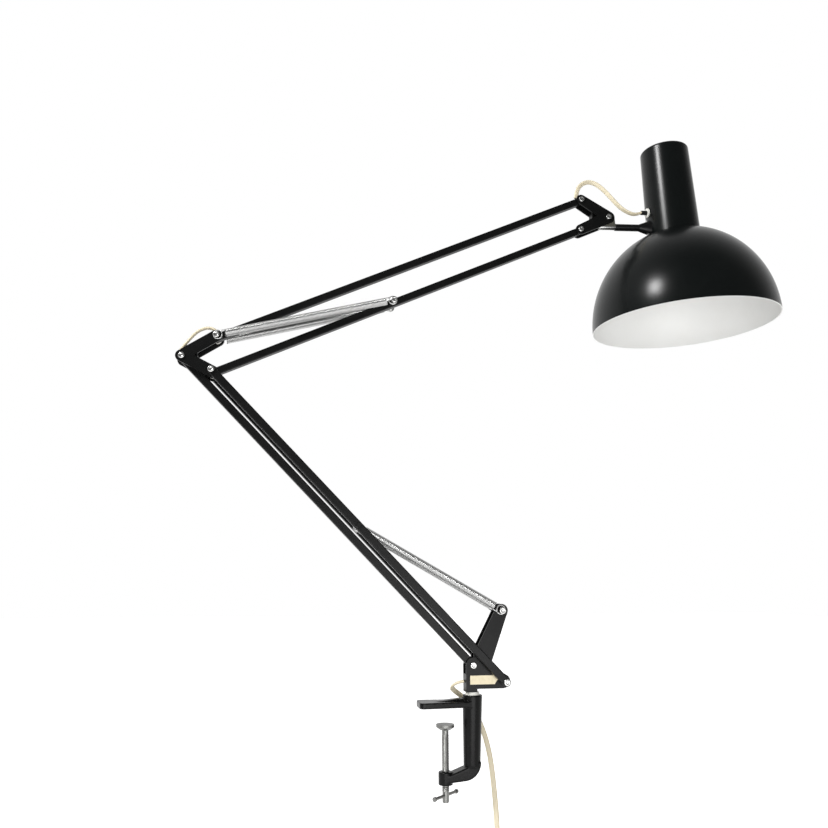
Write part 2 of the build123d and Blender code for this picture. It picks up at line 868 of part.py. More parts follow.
def dome_solid(offset):
    """The shade's outside as a solid, half an ellipsoid, larger or smaller by an offset."""
    with BuildPart() as dome:
        with BuildSketch(side_plane):
            with Locations((0, rim_level)):
                Ellipse(shade_radius + offset, dome_rise + offset)
                Rectangle(
                    2 * shade_radius, 2 * dome_rise,
                    align=(Align.MIN, Align.MIN), mode=Mode.INTERSECT,
                )
        revolve(axis=shade_axis)
    return dome.part


# Neck: a tube on the rod, flared to a saddle on the housing
saddle_end = housing_radius - saddle_depth
flare_start = -housing_radius - neck_flare_length
screw_seat = -housing_radius - screw_seat_depth
housing_cutter = housing_solid(seat_clearance)
dome_cutter = dome_solid(soft_clearance)
with BuildPart() as neck:
    with BuildSketch(neck_plane.offset(neck_start - neck_length)):
        Circle(neck_radius)
    extrude(amount=neck_length - neck_start + flare_start)
    with BuildSketch(neck_plane.offset(flare_start)):
        Circle(neck_radius)
    with BuildSketch(neck_plane.offset(-saddle_end)):
        Ellipse(neck_flare_width / 2, neck_flare_height / 2)
    loft()
    add(housing_cutter, mode=Mode.SUBTRACT)
    add(dome_cutter, mode=Mode.SUBTRACT)
    with BuildSketch(neck_plane.offset(screw_seat)):
        with GridLocations(0, neck_screw_spacing, 1, 2):
            Circle(neck_screw_head + running_clearance)
    extrude(amount=-neck_flare_length, mode=Mode.SUBTRACT)
    with BuildSketch(neck_plane.offset(neck_start - neck_length)):
        Circle(rod_radius + running_clearance)
    extrude(amount=rod_inside_neck + rod_end_play, mode=Mode.SUBTRACT)
finish(neck, "neck")

# Socket housing: a tapered spun tube with a closed top
housing_blank = housing_solid(0)
with BuildPart() as socket_housing:
    add(housing_blank)
    fillet(socket_housing.edges().sort_by(shade_axis)[-1], housing_edge)
    with BuildSketch(head_plane.offset(shade_joint)):
        Circle(housing_radius - housing_wall)
    with BuildSketch(head_plane.offset(housing_top - housing_wall)):
        Circle(housing_top_radius - housing_wall)
    loft(mode=Mode.SUBTRACT)
    with BuildSketch(neck_plane):
        with Locations((0, grommet_height)):
            Circle(grommet_radius + seat_clearance)
    extrude(amount=-2 * housing_radius, mode=Mode.SUBTRACT)
finish(socket_housing, "socket_housing")

# Shade: a spun dome with a small bead at the rim and a hole under the housing
dome_blank = dome_solid(0)
dome_hollow = dome_solid(-shade_wall)
with BuildPart() as shade:
    add(dome_blank)
    add(dome_hollow, mode=Mode.SUBTRACT)
    with BuildSketch(head_plane.offset(shade_joint)):
        Circle(shade_hole_radius)
    extrude(amount=shade_hole_radius, both=True, mode=Mode.SUBTRACT)
    with BuildSketch(side_plane):
        with Locations((shade_radius - shade_wall / 2, rim_level)):
            Circle(rim_bead)
    revolve(axis=shade_axis)
finish(shade, "shade")

# Strap inside the housing, held by the neck's screws, with the lampholder's nipple
holder_foot = shade_joint - holder_mouth
holder_top = holder_foot + holder_height
strap_top = holder_top + strap_thickness


def housing_inside(level):
    """Inside radius of the tapered housing at a level above the neck's axis."""
    share = (level - shade_joint) / (housing_height - housing_wall)
    return housing_radius - housing_wall + share * (housing_top_radius - housing_radius)


strap_reach = min(housing_inside(-strap_drop), housing_inside(strap_top)) - strap_gap
with BuildPart() as holder_strap:
    with BuildSketch(head_plane.offset(holder_top)):
        with Locations(((nipple_radius + strap_land - strap_reach) / 2, 0)):
            Rectangle(strap_reach + nipple_radius + strap_land, strap_width)
        Circle(nipple_radius + strap_land)
        Circle(nipple_radius + seat_clearance, mode=Mode.SUBTRACT)
    extrude(amount=strap_thickness)
    with BuildSketch(head_plane.offset(-strap_drop)):
        with Locations((strap_thickness / 2 - strap_reach, 0)):
            Rectangle(strap_thickness, strap_width)
    extrude(amount=strap_top + strap_drop)
finish(holder_strap, "holder_strap")

# Lampholder: an insulating cup on a threaded nipple
with BuildPart() as lampholder:
    with BuildSketch(head_plane.offset(holder_foot)):
        Circle(holder_radius)
    extrude(amount=holder_height)
    fillet(lampholder.edges().sort_by(shade_axis)[-1], holder_edge)
    with BuildSketch(head_plane.offset(holder_foot)):
        Circle(holder_radius - holder_wall)
    extrude(amount=holder_height - holder_base, mode=Mode.SUBTRACT)
    with BuildSketch(head_plane.offset(holder_top)):
        Circle(nipple_radius)
    extrude(amount=nipple_height)
finish(lampholder, "lampholder")

# Bulb: screw cap and glass
cap_top = holder_top - holder_base - seat_clearance
cap_foot = cap_top - cap_height
with BuildPart() as bulb_cap:
    with BuildSketch(head_plane.offset(cap_foot)):
        Circle(cap_radius)
    extrude(amount=cap_height)
    chamfer(bulb_cap.edges().sort_by(shade_axis)[-1], length=cap_chamfer)
finish(bulb_cap, "bulb_cap")
globe_centre = cap_foot - bulb_length + bulb_radius
shoulder = cap_foot - bulb_shoulder
with BuildPart() as bulb_glass:
    with BuildSketch(side_plane):
        with BuildLine():
            Line((0, cap_foot), (bulb_neck_radius, cap_foot))
            Line((bulb_neck_radius, cap_foot), (bulb_neck_radius, shoulder))
            ThreePointArc(
                (bulb_neck_radius, shoulder),
                ((bulb_neck_radius + bulb_radius) / 2 + bulb_bulge, (shoulder + globe_centre) / 2),
                (bulb_radius, globe_centre),
            )
            CenterArc((0, globe_centre), bulb_radius, 0, -90)
            Line((0, globe_centre - bulb_radius), (0, cap_foot))
        make_face()
    revolve(axis=shade_axis)
finish(bulb_glass, "bulb_glass")

# Two screws through the neck's saddle and the strap
with BuildPart() as neck_screws:
    with BuildSketch(neck_plane.offset(screw_seat)):
        with GridLocations(0, neck_screw_spacing, 1, 2):
            Circle(neck_screw_head)
    extrude(amount=-neck_screw_height)
finish(neck_screws, "neck_screws")

# Cord entry: nylon grommet and a short sleeve on the flex
grommet_face = -(housing_radius - (housing_radius - housing_top_radius)
                 * (grommet_height + neck_to_shade) / housing_height)
with BuildPart() as cord_grommet:
    with BuildSketch(neck_plane.offset(grommet_face - grommet_stand)):
        with Locations((0, grommet_height)):
            Circle(grommet_flange)
    extrude(amount=-grommet_flange_thickness)
    with BuildSketch(neck_plane.offset(grommet_face - grommet_stand)):
        with Locations((0, grommet_height)):
            Circle(grommet_radius)
    extrude(amount=grommet_inner_length)
    with BuildSketch(neck_plane):
        with Locations((0, grommet_height)):
            Circle(sleeve_radius + seat_clearance)
    extrude(amount=-2 * housing_radius, mode=Mode.SUBTRACT)
finish(cord_grommet, "cord_grommet")
sleeve_end = grommet_face - grommet_stand - grommet_flange_thickness - sleeve_length
with BuildPart() as cord_sleeve:
    with BuildSketch(neck_plane.offset(sleeve_end)):
        with Locations((0, grommet_height)):
            Circle(sleeve_radius)
    extrude(amount=sleeve_length + grommet_flange_thickness + grommet_inner_length)
finish(cord_sleeve, "cord_sleeve")


# Flex: free stretches are tubes of straight runs and tangent arcs
def cord_tube(points, name):
    """A tube along a route, each arc as large as its two runs allow."""
    route = [Vector(*point) for point in points]
    radii = []
    for before, corner, after in zip(route, route[1:], route[2:]):
        bend = math.radians((corner - before).get_angle(after - corner))
        run = min((corner - before).length, (after - corner).length)
        radii.append(bend_share * run / math.tan(bend / 2))
    with BuildPart() as cord:
        with BuildLine() as line:
            FilletPolyline(*route, radius=radii)
        path = line.wires()[0]
        with BuildSketch(Plane(path.position_at(0), z_dir=path.tangent_at(0))):
            Circle(cord_radius)
        sweep(path=path)
    share = cord.part.volume / (math.pi * cord_radius**2 * path.length)
    print(name, "length", round(path.length, 1), "least radius", round(min(radii), 1),
          "volume share", round(share, 3))
    finish(cord, name)


def along_arms(pivot, step, y=0.0):
    """A point of the flex's route, at an offset from a pivot of the arms."""
    return in_space(shifted(pivot, step), y)


head_cord_points = (
    along_arms(head_top, (-4.2, 4.0)),
    along_arms(head_top, (-3.2, 13.4)),
    along_arms(head_top, (2.1, 22.2)),
    along_arms(head_top, (11.1, 27.4)),
    along_arms(head_top, (21.6, 25.6), -0.1),
    along_arms(head_top, (32.1, 17.4), -0.3),
    along_arms(head_top, (41.6, 6.4), -0.5),
    along_arms(head_top, (50.6, -3.6), -0.8),
    along_arms(head_top, (60.1, -9.4), -1.0),
    along_arms(head_top, (69.6, -11.6), -0.9),
    tuple(head_plane.from_local_coords((sleeve_end - 2 * cord_end_gap, 0, grommet_height))),
)
cord_tube(head_cord_points, "head_cord")

elbow_cord_points = (
    along_arms(elbow_rear, (-4.5, 4.6)),
    along_arms(elbow_rear, (0.8, 13.0)),
    along_arms(elbow_rear, (7.2, 22.2)),
    along_arms(elbow_rear, (14.2, 30.2)),
    along_arms(elbow_rear, (22.7, 33.8)),
    along_arms(elbow_rear, (29.7, 32.8)),
    along_arms(elbow_rear, (33.9, 29.5)),
)
cord_tube(elbow_cord_points, "elbow_cord")

coil_y = 13.0
coil_centre_x = 14.5
coil_level = -164.0
lead_points = (
    (base_back_edge - cord_end_gap, 2.0, 23.6),
    (13.0, 3.0, 22.5),
    (8.5, 9.0, 17.5),
    (13.0, 17.5, 13.0),
    (22.5, 19.5, 6.5),
    (31.0, 17.5, -3.0),
    (38.0, 15.0, -15.5),
    (44.5, 14.0, -32.0),
    (49.0, 13.5, -52.0),
    (51.5, 13.2, -75.0),
    (53.5, 13.0, -100.0),
    (coil_centre_x + coil_outer_radius, coil_y, -128.0),
    (coil_centre_x + coil_outer_radius, coil_y, coil_level),
)
cord_tube(lead_points, "mains_lead")


# Coil of the spare length: two layers of loops that spiral in and out again
def coil_stations():
    """Points and headings of the coil, half a turn apart, clockwise seen from the front."""
    drop = (2 * cord_radius + coil_loop_gap) / 2
    halves = 2 * coil_loops
    x = coil_centre_x + coil_outer_radius
    y = coil_y
    heading = -1
    stations = [(Vector(x, y, coil_level), Vector(0, 0, heading))]
    for half in range(2 * halves):
        radius = coil_outer_radius - drop * min(half, 2 * halves - half)
        x = x + heading * 2 * radius
        heading = -heading
        if half == halves:
            y = y + 2 * cord_radius + coil_layer_gap
        stations.append((Vector(x, y, coil_level), Vector(0, 0, heading)))
    return stations


with BuildPart() as cord_coil:
    stations = coil_stations()
    with BuildLine() as line:
        for (start, heading), (end, end_heading) in zip(stations, stations[1:]):
            biarc(start, heading, end, end_heading)
    coil_path = line.wires()[0]
    with BuildSketch(Plane(coil_path.position_at(0), z_dir=coil_path.tangent_at(0))):
        Circle(cord_radius)
    sweep(path=coil_path)
print("coil length", round(coil_path.length, 1), "least gap",
      round(least_gap(coil_path, cord_radius, 8 * cord_radius), 2))
finish(cord_coil, "cord_coil")

# Tail of the flex from the coil to the plug
coil_exit = coil_path.position_at(1)
tail_points = (
    tuple(coil_exit),
    tuple(coil_exit + Vector(0, 0, -tail_run)),
    tuple(coil_exit + Vector(tail_side, tail_side, -2 * tail_run)),
    tuple(coil_exit + Vector(tail_side, tail_side, -3 * tail_run)),
)
cord_tube(tail_points, "plug_lead")

# Band that ties the loops together on the left of the coil
left_edge = coil_centre_x - coil_outer_radius
band_width = coil_loops * (2 * cord_radius + coil_loop_gap) + 2 * (cord_radius + tie_slack)
band_depth = 4 * cord_radius + coil_layer_gap + 2 * tie_slack
band_x = left_edge - cord_radius - tie_slack + band_width / 2
band_y = coil_y - cord_radius - tie_slack + band_depth / 2
with BuildPart() as cord_tie:
    with BuildSketch(Plane.XY.offset(coil_level - tie_band / 2)):
        with Locations((band_x, band_y)):
            Rectangle(band_width + 2 * tie_thickness, band_depth + 2 * tie_thickness)
            Rectangle(band_width, band_depth, mode=Mode.SUBTRACT)
    extrude(amount=tie_band)
finish(cord_tie, "cord_tie")

# Moulded two-pin plug, hanging pins down
plug_top = Vector(*tail_points[-1]) - Vector(0, 0, cord_end_gap)
plug_plane = Plane(plug_top, x_dir=(1, 0, 0), z_dir=(0, -1, 0))
with BuildPart() as plug_body:
    with BuildSketch(plug_plane):
        with BuildLine() as outline:
            Polyline(
                (0, 0),
                (plug_neck_width / 2, 0),
                (plug_width / 2, -plug_shoulder),
                (plug_face_width / 2, -plug_length),
                (0, -plug_length),
            )
            mirror(about=Plane.YZ)
        make_face()
    extrude(amount=plug_thickness / 2, both=True)
    fillet(plug_body.edges().filter_by(Axis.Y), plug_edge)
finish(plug_body, "plug_body")
with BuildPart() as plug_pins:
    with BuildSketch(Plane(plug_top - Vector(0, 0, plug_length), z_dir=(0, 0, -1))):
        with GridLocations(plug_pin_spacing, 0, 2, 1):
            Circle(plug_pin_radius)
    extrude(amount=plug_pin_length)
finish(plug_pins, "plug_pins")


# Flex inside the two bars that carry it, lying on the lower wall
def bar_flex(start, length, angle, name):
    """A straight run of flex inside a square tube, between its end pins."""
    drop = bar_side / 2 - bar_wall - cord_radius - flex_play
    first = shifted(shifted(start, polar(flex_end, angle)), polar(drop, angle - 90))
    with BuildPart() as flex:
        with BuildSketch(Plane(in_space(first), z_dir=in_space(polar(1, angle)))):
            Circle(cord_radius)
        extrude(amount=length - 2 * flex_end)
    finish(flex, name)


bar_flex(rear_pivot, lower_length, lower_angle, "rear_bar_flex")
bar_flex(elbow_top, upper_length, upper_angle, "top_bar_flex")
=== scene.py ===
import json
import math

import bpy
from mathutils import Matrix, Vector


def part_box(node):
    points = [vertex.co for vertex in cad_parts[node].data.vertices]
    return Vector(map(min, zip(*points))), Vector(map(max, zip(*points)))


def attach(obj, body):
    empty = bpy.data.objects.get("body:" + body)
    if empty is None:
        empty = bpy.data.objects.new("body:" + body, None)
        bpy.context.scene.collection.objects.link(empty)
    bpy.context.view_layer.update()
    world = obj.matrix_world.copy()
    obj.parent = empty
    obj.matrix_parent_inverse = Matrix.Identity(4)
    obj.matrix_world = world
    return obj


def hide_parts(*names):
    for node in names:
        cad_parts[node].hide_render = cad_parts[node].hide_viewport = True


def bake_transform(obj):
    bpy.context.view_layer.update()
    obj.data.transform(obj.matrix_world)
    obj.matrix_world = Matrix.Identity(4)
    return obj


# Looks of a balanced-arm desk lamp, in metres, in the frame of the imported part
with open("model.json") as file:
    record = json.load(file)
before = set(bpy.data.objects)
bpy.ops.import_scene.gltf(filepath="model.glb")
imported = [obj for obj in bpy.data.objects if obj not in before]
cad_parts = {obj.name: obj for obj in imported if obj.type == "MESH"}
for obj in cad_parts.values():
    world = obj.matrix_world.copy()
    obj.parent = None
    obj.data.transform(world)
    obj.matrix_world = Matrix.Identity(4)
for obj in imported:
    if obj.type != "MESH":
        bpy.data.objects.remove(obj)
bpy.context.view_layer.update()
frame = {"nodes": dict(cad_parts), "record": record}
nodes = frame["nodes"]
MM = 0.001


def pin_centre(name):
    """Middle of a pin, which lies across the plane of the arms."""
    low, high = (Vector(corner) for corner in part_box(name))
    return (low + high) / 2


# Pivots and spring pins of the arms
rear_pivot = pin_centre("rear_pivot_rivet")
elbow_rear = pin_centre("elbow_rear_rivet")
elbow_top = pin_centre("elbow_spring_pin")
head_top = pin_centre("head_top_rivet")
horn_pin = pin_centre("horn_spring_pin")
front_spring_pin = pin_centre("front_cross_pin")
upper_spring_pin = pin_centre("bar_spring_pin")
tilt_centre = pin_centre("tilt_screw")

# Shade, measured along its own axis
neck_centre = Vector((0.285487, 0, 0.536432))
neck_lean = math.radians(-3.36)
shade_up = Vector((-0.058570, -0.036470, 0.997617))
shade_radius = 0.1052
shade_wall = 0.001
shade_rise = 0.11585  # rim to the top of the full dome
shade_hole = 0.11225  # rim to the edge of the hole under the housing
rim_drop = 0.1206  # neck's axis to the rim
rim_centre = neck_centre - shade_up * rim_drop


# Selection and modifier helpers


def take(obj):
    """Makes obj the only selected object."""
    bpy.ops.object.select_all(action="DESELECT")
    obj.select_set(True)
    bpy.context.view_layer.objects.active = obj
    return obj


def settle(obj):
    """Puts the object's place into its mesh."""
    take(obj)
    bpy.ops.object.transform_apply(location=True, rotation=True, scale=True)
    return obj


def modify(obj, kind, **settings):
    """Adds a modifier and applies it."""
    take(obj)
    made = obj.modifiers.new(kind.title(), kind)
    for key, value in settings.items():
        setattr(made, key, value)
    bpy.ops.object.modifier_apply(modifier=made.name)
    return obj


def start_primitive():
    """Leaves nothing selected, so that a new primitive stays by itself."""
    bpy.ops.object.select_all(action="DESELECT")


def named(name):
    """The active new object, named, with its own mesh name."""
    obj = bpy.context.active_object
    obj.name = name
    obj.data.name = name
    return obj


def join(first, *others):
    """Joins the others into the first."""
    take(first)
    for other in others:
        other.select_set(True)
    bpy.ops.object.join()
    return first


def smooth(obj, degrees):
    """Shades smooth, with edges sharper than the angle kept."""
    take(obj)
    bpy.ops.object.shade_smooth_by_angle(angle=math.radians(degrees))
    return obj


def soften(obj, width, segments, degrees):
    """Rounds the edges that are sharper than the angle."""
    return modify(obj, "BEVEL", width=width, segments=segments, limit_method="ANGLE",
                  angle_limit=math.radians(degrees))


# Shader node groups
FLOAT = "NodeSocketFloat"
COLOUR = "NodeSocketColor"
VECTOR = "NodeSocketVector"
MIX_FIRST = 6  # colour sockets of a Mix node
MIX_SECOND = 7
MIX_RESULT = 2


def new_group(name, inputs, outputs):
    """An empty shader group with float, vector or colour sockets."""
    group = bpy.data.node_groups.new(name, "ShaderNodeTree")
    for label, kind, value in inputs:
        socket = group.interface.new_socket(name=label, in_out="INPUT", socket_type=kind)
        if value is not None:
            socket.default_value = value
    for label, kind in outputs:
        group.interface.new_socket(name=label, in_out="OUTPUT", socket_type=kind)
    return group


def link(tree, source, out, target, into):
    """Joins an output of one node to an input of another."""
    tree.links.new(source.outputs[out], target.inputs[into])


def math_node(tree, operation):
    """A new Math node."""
    made = tree.nodes.new("ShaderNodeMath")
    made.operation = operation
    return made


def mix_colour(tree, factor, first, second):
    """A Mix node between two colour outputs; a plain colour may stand for the second."""
    mix = tree.nodes.new("ShaderNodeMix")
    mix.data_type = "RGBA"
    tree.links.new(factor, mix.inputs["Factor"])
    tree.links.new(first, mix.inputs[MIX_FIRST])
    if isinstance(second, tuple):
        mix.inputs[MIX_SECOND].default_value = second
    else:
        tree.links.new(second, mix.inputs[MIX_SECOND])
    return mix.outputs[MIX_RESULT]


def surface_group():
    """Mottled colour, uneven roughness and a fine bump for every finish."""
    group = new_group(
        "surface",
        [("Colour", COLOUR, None), ("Fleck", COLOUR, None), ("Fleck amount", FLOAT, 0.2),
         ("Fleck scale", FLOAT, 60.0), ("Roughness", FLOAT, 0.4), ("Spread", FLOAT, 0.1),
         ("Grain scale", FLOAT, 900.0), ("Grain", FLOAT, 0.1)],
        [("Colour", COLOUR), ("Roughness", FLOAT), ("Normal", VECTOR)],
    )
    new = group.nodes.new
    enter = new("NodeGroupInput")
    leave = new("NodeGroupOutput")
    place = new("ShaderNodeTexCoord")
    patch = new("ShaderNodeTexNoise")
    patch.inputs["Detail"].default_value = 6.0
    patch.inputs["Roughness"].default_value = 0.65
    link(group, place, "Object", patch, "Vector")
    link(group, enter, "Fleck scale", patch, "Scale")
    ramp = new("ShaderNodeValToRGB")
    ramp.color_ramp.elements[0].position = 0.48
    ramp.color_ramp.elements[1].position = 0.72
    link(group, patch, "Fac", ramp, "Fac")
    share = math_node(group, "MULTIPLY")
    link(group, ramp, "Color", share, 0)
    link(group, enter, "Fleck amount", share, 1)
    mottled = mix_colour(
        group, share.outputs[0], enter.outputs["Colour"], enter.outputs["Fleck"])
    group.links.new(mottled, leave.inputs["Colour"])
    uneven = new("ShaderNodeTexNoise")
    uneven.inputs["Scale"].default_value = 34.0
    uneven.inputs["Detail"].default_value = 4.0
    link(group, place, "Object", uneven, "Vector")
    centre = math_node(group, "SUBTRACT")
    centre.inputs[1].default_value = 0.5
    link(group, uneven, "Fac", centre, 0)
    rough = math_node(group, "MULTIPLY_ADD")
    link(group, centre, 0, rough, 0)
    link(group, enter, "Spread", rough, 1)
    link(group, enter, "Roughness", rough, 2)
    link(group, rough, 0, leave, "Roughness")
    grain = new("ShaderNodeTexNoise")
    grain.inputs["Detail"].default_value = 3.0
    link(group, place, "Object", grain, "Vector")
    link(group, enter, "Grain scale", grain, "Scale")
    bump = new("ShaderNodeBump")
    bump.inputs["Distance"].default_value = 0.2 * MM
    link(group, grain, "Fac", bump, "Height")
    link(group, enter, "Grain", bump, "Strength")
    link(group, bump, "Normal", leave, "Normal")
    return group


def wear_group():
    """A mask that is high on raised edges, broken up by noise."""
    group = new_group(
        "edge_wear",
        [("Low", FLOAT, 0.52), ("High", FLOAT, 0.62), ("Scale", FLOAT, 240.0)],
        [("Mask", FLOAT)],
    )
    new = group.nodes.new
    enter = new("NodeGroupInput")
    leave = new("NodeGroupOutput")
    shape_of = new("ShaderNodeNewGeometry")
    spread = new("ShaderNodeMapRange")
    link(group, shape_of, "Pointiness", spread, "Value")
    link(group, enter, "Low", spread, "From Min")
    link(group, enter, "High", spread, "From Max")
    place = new("ShaderNodeTexCoord")
    noise = new("ShaderNodeTexNoise")
    noise.inputs["Detail"].default_value = 5.0
    link(group, place, "Object", noise, "Vector")
    link(group, enter, "Scale", noise, "Scale")
    cut = new("ShaderNodeMapRange")
    cut.inputs["From Min"].default_value = 0.42
    cut.inputs["From Max"].default_value = 0.62
    link(group, noise, "Fac", cut, "Value")
    both = math_node(group, "MULTIPLY")
    link(group, spread, "Result", both, 0)
    link(group, cut, "Result", both, 1)
    link(group, both, 0, leave, "Mask")
    return group


surface = surface_group()
edge_wear = wear_group()


def make_finish(name, colour, fleck, amount, fleck_scale, roughness, spread, grain_scale, grain,
                metallic=0.0, specular=0.5, coat=0.0, wear=0.0, wear_colour=None):
    """A procedural material from the shared groups."""
    made = bpy.data.materials.new(name)
    made.use_nodes = True
    tree = made.node_tree
    shader = tree.nodes["Principled BSDF"]
    shader.inputs["Metallic"].default_value = metallic
    shader.inputs["Specular IOR Level"].default_value = specular
    shader.inputs["Coat Weight"].default_value = coat
    shader.inputs["Coat Roughness"].default_value = 0.15
    look = tree.nodes.new("ShaderNodeGroup")
    look.node_tree = surface
    look.inputs["Colour"].default_value = (*colour, 1)
    look.inputs["Fleck"].default_value = (*fleck, 1)
    look.inputs["Fleck amount"].default_value = amount
    look.inputs["Fleck scale"].default_value = fleck_scale
    look.inputs["Roughness"].default_value = roughness
    look.inputs["Spread"].default_value = spread
    look.inputs["Grain scale"].default_value = grain_scale
    look.inputs["Grain"].default_value = grain
    link(tree, look, "Roughness", shader, "Roughness")
    link(tree, look, "Normal", shader, "Normal")
    if wear == 0:
        link(tree, look, "Colour", shader, "Base Color")
        return made
    edge = tree.nodes.new("ShaderNodeGroup")
    edge.node_tree = edge_wear
    share = math_node(tree, "MULTIPLY")
    share.inputs[1].default_value = wear
    link(tree, edge, "Mask", share, 0)
    worn = mix_colour(tree, share.outputs[0], look.outputs["Colour"], (*wear_colour, 1))
    tree.links.new(worn, shader.inputs["Base Color"])
    return made


# Finishes, by material slot
finishes = {
    "black_enamel": dict(
        colour=(0.0035, 0.0036, 0.0036), fleck=(0.009, 0.009, 0.0085), amount=0.35,
        fleck_scale=90, roughness=0.34, spread=0.14, grain_scale=1400, grain=0.05,
        specular=0.16),
    "cast_black": dict(
        colour=(0.003, 0.003, 0.003), fleck=(0.009, 0.009, 0.0085), amount=0.4,
        fleck_scale=120, roughness=0.26, spread=0.2, grain_scale=600, grain=0.14,
        specular=0.12, wear=0.5, wear_colour=(0.07, 0.07, 0.066)),
    "shade_enamel": dict(
        colour=(0.0032, 0.0042, 0.0041), fleck=(0.008, 0.0095, 0.0093), amount=0.3,
        fleck_scale=40, roughness=0.25, spread=0.05, grain_scale=1600, grain=0.03,
        specular=0.2),
    "shade_white": dict(
        colour=(0.83, 0.83, 0.815), fleck=(0.78, 0.775, 0.75), amount=0.3,
        fleck_scale=30, roughness=0.4, spread=0.1, grain_scale=900, grain=0.04),
    "bright_steel": dict(
        colour=(0.52, 0.52, 0.51), fleck=(0.3, 0.3, 0.29), amount=0.5,
        fleck_scale=400, roughness=0.3, spread=0.16, grain_scale=2500, grain=0.12,
        metallic=1.0),
    "spring_steel": dict(
        colour=(0.5, 0.5, 0.495), fleck=(0.32, 0.32, 0.315), amount=0.4,
        fleck_scale=300, roughness=0.36, spread=0.14, grain_scale=2500, grain=0.08,
        metallic=1.0),
    "grey_steel": dict(
        colour=(0.2, 0.2, 0.192), fleck=(0.1, 0.096, 0.09), amount=0.6,
        fleck_scale=260, roughness=0.4, spread=0.2, grain_scale=1800, grain=0.2,
        metallic=0.9),
    "knuckle_metal": dict(
        colour=(0.2, 0.195, 0.16), fleck=(0.09, 0.088, 0.072), amount=0.5,
        fleck_scale=300, roughness=0.42, spread=0.2, grain_scale=1500, grain=0.2,
        metallic=0.6),
    "white_nylon": dict(
        colour=(0.8, 0.79, 0.74), fleck=(0.66, 0.64, 0.57), amount=0.35,
        fleck_scale=200, roughness=0.45, spread=0.12, grain_scale=900, grain=0.08),
    "black_plastic": dict(
        colour=(0.0045, 0.0045, 0.0047), fleck=(0.012, 0.012, 0.0115), amount=0.3,
        fleck_scale=150, roughness=0.32, spread=0.14, grain_scale=900, grain=0.08,
        specular=0.28),
    "ivory_plastic": dict(
        colour=(0.7, 0.62, 0.45), fleck=(0.58, 0.5, 0.34), amount=0.35,
        fleck_scale=90, roughness=0.36, spread=0.1, grain_scale=700, grain=0.08),
    "ivory_flex": dict(
        colour=(0.74, 0.66, 0.48), fleck=(0.64, 0.55, 0.37), amount=0.25,
        fleck_scale=60, roughness=0.46, spread=0.1, grain_scale=400, grain=0.03),
    "cream_plate": dict(
        colour=(0.78, 0.69, 0.48), fleck=(0.56, 0.45, 0.26), amount=0.45,
        fleck_scale=320, roughness=0.4, spread=0.2, grain_scale=900, grain=0.12),
    "pin_brass": dict(
        colour=(0.7, 0.62, 0.42), fleck=(0.5, 0.43, 0.27), amount=0.4,
        fleck_scale=300, roughness=0.26, spread=0.1, grain_scale=1800, grain=0.1,
        metallic=1.0),
    "cap_aluminium": dict(
        colour=(0.72, 0.72, 0.71), fleck=(0.5, 0.5, 0.49), amount=0.3,
        fleck_scale=200, roughness=0.32, spread=0.1, grain_scale=1500, grain=0.1,
        metallic=1.0),
    "bulb_glass": dict(
        colour=(0.9, 0.9, 0.88), fleck=(0.84, 0.84, 0.8), amount=0.2,
        fleck_scale=40, roughness=0.22, spread=0.06, grain_scale=600, grain=0.02, coat=0.5),
}
looks = {name: make_finish(name, **settings) for name, settings in finishes.items()}

# Every carried-over node takes the look of its slot, and the front bars' cross pin is painted
slot_of = {row["node"]: row["material_slot"] for row in frame["record"]["subparts"]}
slot_of["front_cross_pin"] = "black_enamel"
for name, node in nodes.items():
    node.data.materials.clear()
    node.data.materials.append(looks[slot_of[name]])
body_of = {node: body for body, members in frame["record"]["behaviour"]["bodies"].items()
           for node in members}


def dress(obj, slot, body, *replaced):
    """Gives a piece its look, its body if one is given, and the nodes it stands for."""
    if not obj.data.materials:
        obj.data.materials.append(looks[slot])
    if body is not None:
        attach(obj, body)
    if replaced:
        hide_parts(*replaced)
    return obj


# Camera at the photograph's view
camera_data = bpy.data.cameras.new("camera")
camera_data.sensor_width = 36.0
camera_data.lens = 32.63
camera_data.dof.use_dof = False
camera_data.clip_start = 0.01
camera_rise = 12.54  # degrees above the level
camera_turn = -9.554  # degrees round the vertical
camera = bpy.data.objects.new("camera", camera_data)
bpy.context.scene.collection.objects.link(camera)
camera.location = (-0.16107, -0.77209, 0.12175)
camera.rotation_euler = (math.radians(90 + camera_rise), 0, math.radians(camera_turn))
bpy.context.scene.camera = camera
bpy.context.scene.view_settings.view_transform = "Standard"

# Flex: flat twin cord whose routes are in millimetres
flex_half_thickness = 1.3 * MM
flex_width = 5.2 * MM
flex_rounding = 3
loop_steps = 24
flex_edge = 60  # degrees


def nurbs_curve(name, points, radius, rounding, steps):
    """A tube on one open spline, with the points as its control points."""
    data = bpy.data.curves.new(name, "CURVE")
    data.dimensions = "3D"
    data.resolution_u = steps
    data.bevel_depth = radius
    data.bevel_resolution = rounding
    data.use_fill_caps = True
    spline = data.splines.new("NURBS")
    spline.points.add(len(points) - 1)
    for index, point in enumerate(points):
        spline.points[index].co = (*point, 1)
    spline.order_u = 3
    spline.use_endpoint_u = True
    obj = bpy.data.objects.new(name, data)
    bpy.context.scene.collection.objects.link(obj)
    return obj


def flex_curve(name, points, first_tilt, last_tilt, steps=8):
    """A flat flex along a route; the tilts, in degrees, turn its flat side from end to end."""
    obj = nurbs_curve(name, points, flex_half_thickness, flex_rounding, steps)
    obj.data.twist_mode = "MINIMUM"
    obj.data.extrude = flex_width / 2 - flex_half_thickness
    for index, point in enumerate(obj.data.splines[0].points):
        share = index / (len(points) - 1)
        point.tilt = math.radians(first_tilt * (1 - share) + last_tilt * share)
    return obj


